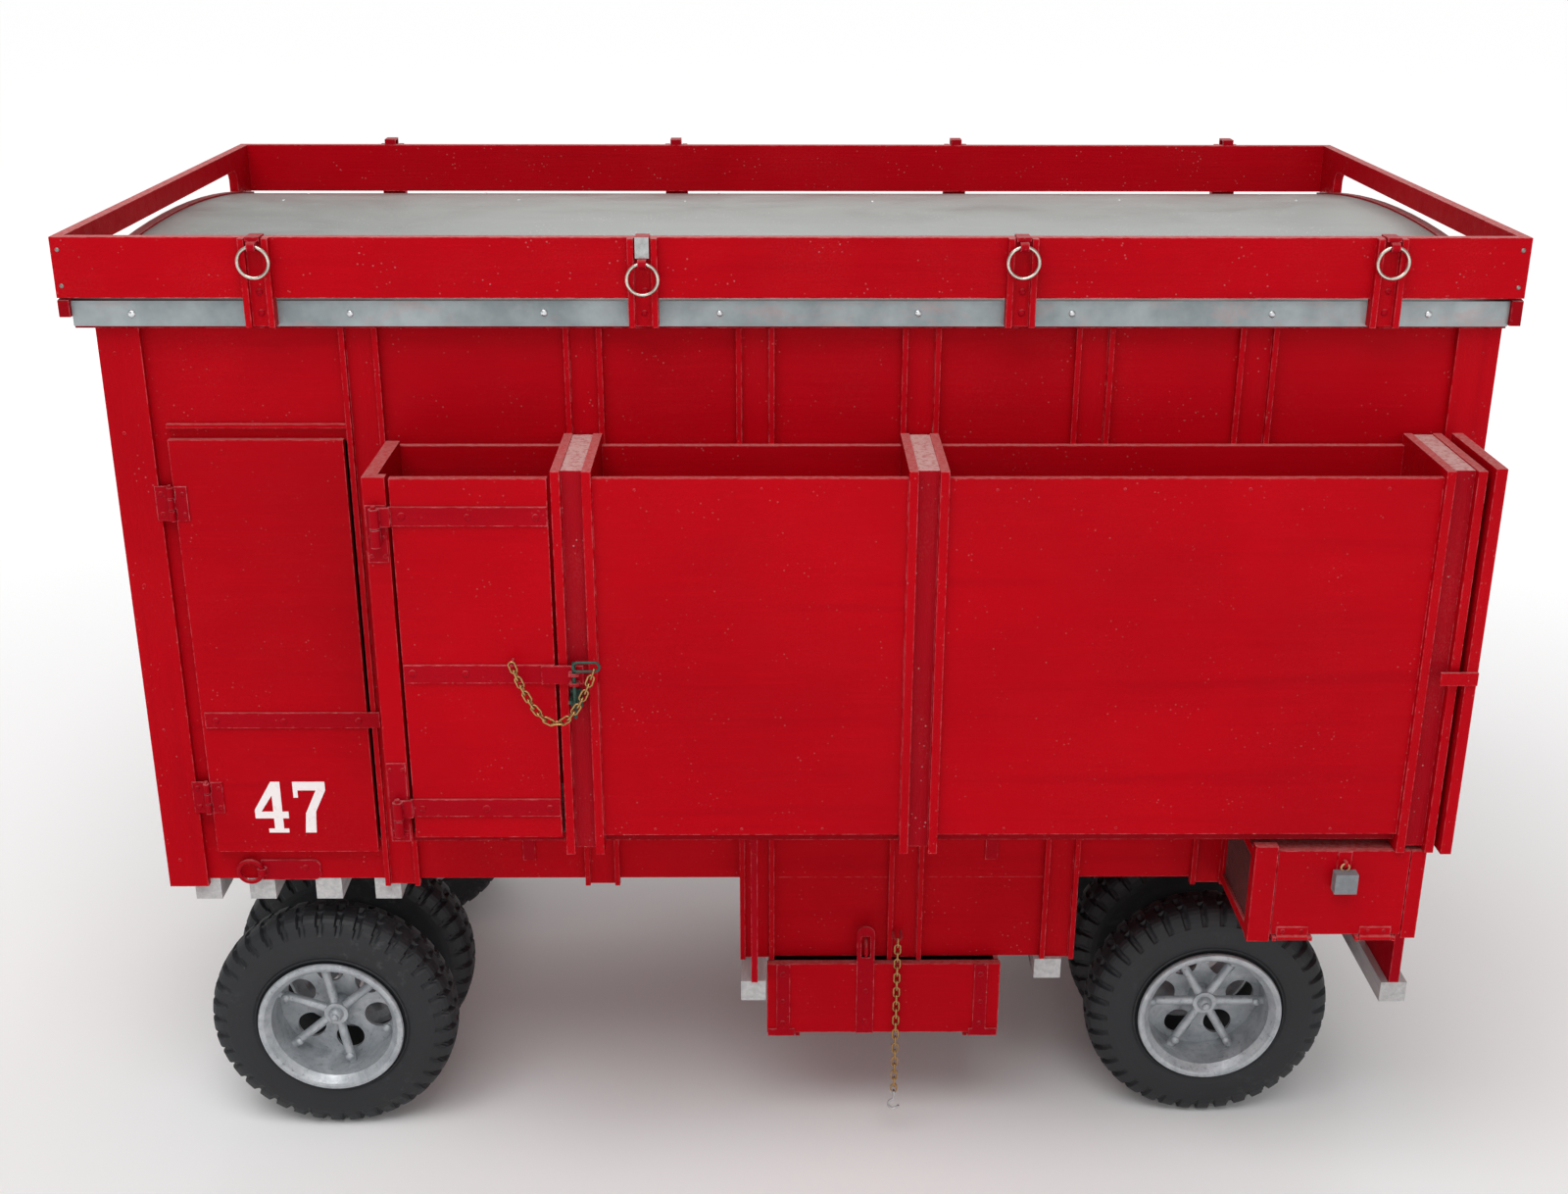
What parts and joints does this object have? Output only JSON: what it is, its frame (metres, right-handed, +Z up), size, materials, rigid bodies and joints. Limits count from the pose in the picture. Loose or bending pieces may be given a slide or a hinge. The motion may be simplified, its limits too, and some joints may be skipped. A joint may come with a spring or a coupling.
{
  "type": "livestock trailer",
  "caption": "Boarded livestock trailer, scale-model size, with a domed tin roof and roof tray, fodder rack, drop belly, tool box, ramp hatch and dual wheels.",
  "frame": {"origin": "centre of the bounding box in plan, on the ground under the tyres", "axes": "+X along the trailer from the front wall to the rear wall, +Z up, -Y out of the side that carries the rack and doors"},
  "size_m": [0.522, 0.3077, 0.3857],
  "materials": {
    "red_boards": "satin",
    "red_irons": "satin",
    "roof_tin": "satin",
    "grey_beams": "matte",
    "green_iron": "satin",
    "brass_chain": "satin",
    "bright_steel": "satin",
    "padlock_metal": "matte",
    "tyre_rubber": "matte",
    "rim_paint": "satin"
  },
  "bodies": {
    "chassis": {"floor_deck": "red_boards", "belly_box": "red_boards", "near_wall": "red_boards", "far_wall": "red_boards", "end_walls": "red_boards", "corner_posts": "red_boards", "wall_studs": "red_boards", "roof_frame": "red_boards", "roof_sheet": "roof_tin", "tray_sides": "red_boards", "tray_ends": "red_boards", "tray_brackets": "red_irons", "ring_tabs": "red_irons", "cross_beams": "grey_beams", "beam_hangers": "red_irons", "rack_supports": "red_irons", "rack_back": "red_boards", "rack_floor": "red_boards", "rack_end": "red_boards", "rack_panels": "red_boards", "rack_post_plates": "red_boards", "rack_post_cores": "red_boards", "door_hinge_irons": "red_irons", "latch_keeper": "green_iron", "wall_irons": "red_irons", "toolbox_case": "red_boards", "toolbox_grille": "red_irons", "ramp_case": "red_boards", "rear_bolster": "red_boards", "rear_axle": "bright_steel", "turntable_plate": "red_boards"},
    "steer": {"front_bolster": "red_boards", "front_axle": "bright_steel"},
    "side_door": {"side_door_panel": "red_boards", "side_door_irons": "red_irons"},
    "rack_door": {"rack_door_panel": "red_boards", "rack_door_straps": "red_irons", "latch_chain": "brass_chain"},
    "latch_pin": {"latch_pin": "green_iron"},
    "wing_gate": {"wing_gate": "red_boards"},
    "toolbox_door": {"toolbox_door": "red_boards"},
    "padlock": {"padlock": "padlock_metal"},
    "hatch": {"hatch_panel": "red_boards", "hatch_straps": "red_irons"},
    "drop_chain": {"drop_chain_upper": "brass_chain"},
    "drop_hook": {"drop_chain_lower": "brass_chain"},
    "bull_ring": {"bull_ring": "red_irons"},
    "tie_ring_1": {"tie_ring_1": "bright_steel"},
    "tie_ring_2": {"tie_ring_2": "bright_steel"},
    "tie_ring_3": {"tie_ring_3": "bright_steel"},
    "tie_ring_4": {"tie_ring_4": "bright_steel"},
    "far_tie_rings": {"far_tie_rings": "bright_steel"},
    "wheel_front_near": {"front_near_tyres": "tyre_rubber", "front_near_rims": "rim_paint"},
    "wheel_front_far": {"front_far_tyres": "tyre_rubber", "front_far_rims": "rim_paint"},
    "wheel_rear_near": {"rear_near_tyres": "tyre_rubber", "rear_near_rims": "rim_paint"},
    "wheel_rear_far": {"rear_far_tyres": "tyre_rubber", "rear_far_rims": "rim_paint"}
  },
  "joints": [
    {"name": "steering", "type": "hinge", "parent": "chassis", "child": "steer", "pos_m": [-0.1924, 0.02005, 0.109], "axis": [0, 0, 1], "range_deg": [-20, 20]},
    {"name": "side_door_swing", "type": "hinge", "parent": "chassis", "child": "side_door", "pos_m": [-0.231, -0.1015, 0.22], "axis": [0, 0, -1], "range_deg": [0, 110]},
    {"name": "rack_door_swing", "type": "hinge", "parent": "chassis", "child": "rack_door", "pos_m": [-0.145, -0.15085, 0.2345], "axis": [0, 0, -1], "range_deg": [0, 110]},
    {"name": "latch_pin_slide", "type": "slide", "parent": "rack_door", "child": "latch_pin", "axis": [0, 0, 1], "range_m": [0, 0.015], "deforming": ["latch_chain"]},
    {"name": "wing_gate_swing", "type": "hinge", "parent": "chassis", "child": "wing_gate", "pos_m": [0.244, -0.10295, 0.236], "axis": [0, 0, 1], "range_deg": [0, 85]},
    {"name": "toolbox_door_drop", "type": "hinge", "parent": "chassis", "child": "toolbox_door", "pos_m": [0.205, -0.14685, 0.1237], "axis": [1, 0, 0], "range_deg": [0, 90]},
    {"name": "padlock_swing", "type": "hinge", "parent": "toolbox_door", "child": "padlock", "pos_m": [0.2078, -0.14805, 0.1563], "axis": [-1, 0, 0], "range_deg": [0, 90]},
    {"name": "hatch_drop", "type": "hinge", "parent": "chassis", "child": "hatch", "pos_m": [0.0385, -0.10145, 0.0504], "axis": [1, 0, 0], "range_deg": [0, 90], "deforming": ["drop_chain_upper", "drop_chain_lower"]},
    {"name": "drop_chain_swing", "type": "hinge", "parent": "chassis", "child": "drop_chain", "pos_m": [0.0439, -0.10495, 0.0973], "axis": [-1, 0, 0], "range_deg": [0, 38]},
    {"name": "drop_hook_hang", "type": "hinge", "parent": "drop_chain", "child": "drop_hook", "pos_m": [0.0439, -0.10495, 0.04305], "axis": [1, 0, 0], "range_deg": [0, 38]},
    {"name": "bull_ring_swing", "type": "hinge", "parent": "chassis", "child": "bull_ring", "pos_m": [-0.2135, -0.09905, 0.1263], "axis": [0, 0, 1], "range_deg": [0, 165]},
    {"name": "tie_ring_1_swing", "type": "hinge", "parent": "chassis", "child": "tie_ring_1", "pos_m": [-0.189, -0.11085, 0.3805], "axis": [-1, 0, 0], "range_deg": [0, 150]},
    {"name": "tie_ring_2_swing", "type": "hinge", "parent": "chassis", "child": "tie_ring_2", "pos_m": [-0.053, -0.11085, 0.3745], "axis": [-1, 0, 0], "range_deg": [0, 150]},
    {"name": "tie_ring_3_swing", "type": "hinge", "parent": "chassis", "child": "tie_ring_3", "pos_m": [0.081, -0.11085, 0.3805], "axis": [-1, 0, 0], "range_deg": [0, 150]},
    {"name": "tie_ring_4_swing", "type": "hinge", "parent": "chassis", "child": "tie_ring_4", "pos_m": [0.211, -0.11085, 0.3805], "axis": [-1, 0, 0], "range_deg": [0, 150]},
    {"name": "far_tie_rings_swing", "type": "hinge", "parent": "chassis", "child": "far_tie_rings", "pos_m": [0, 0.15095, 0.3805], "axis": [1, 0, 0], "range_deg": [0, 150]},
    {"name": "front_near_wheel_spin", "type": "hinge", "parent": "steer", "child": "wheel_front_near", "pos_m": [-0.1924, -0.05995, 0.0515], "axis": [0, 1, 0], "continuous": true},
    {"name": "front_far_wheel_spin", "type": "hinge", "parent": "steer", "child": "wheel_front_far", "pos_m": [-0.1924, 0.10005, 0.0515], "axis": [0, 1, 0], "continuous": true},
    {"name": "rear_near_wheel_spin", "type": "hinge", "parent": "chassis", "child": "wheel_rear_near", "pos_m": [0.1782, -0.05995, 0.0515], "axis": [0, 1, 0], "continuous": true},
    {"name": "rear_far_wheel_spin", "type": "hinge", "parent": "chassis", "child": "wheel_rear_far", "pos_m": [0.1782, 0.10005, 0.0515], "axis": [0, 1, 0], "continuous": true}
  ],
  "couplings": [
    {"joint": "drop_chain_swing", "follows": "hatch_drop", "ratio": 0.42222},
    {"joint": "drop_hook_hang", "follows": "hatch_drop", "ratio": 0.42222}
  ]
}
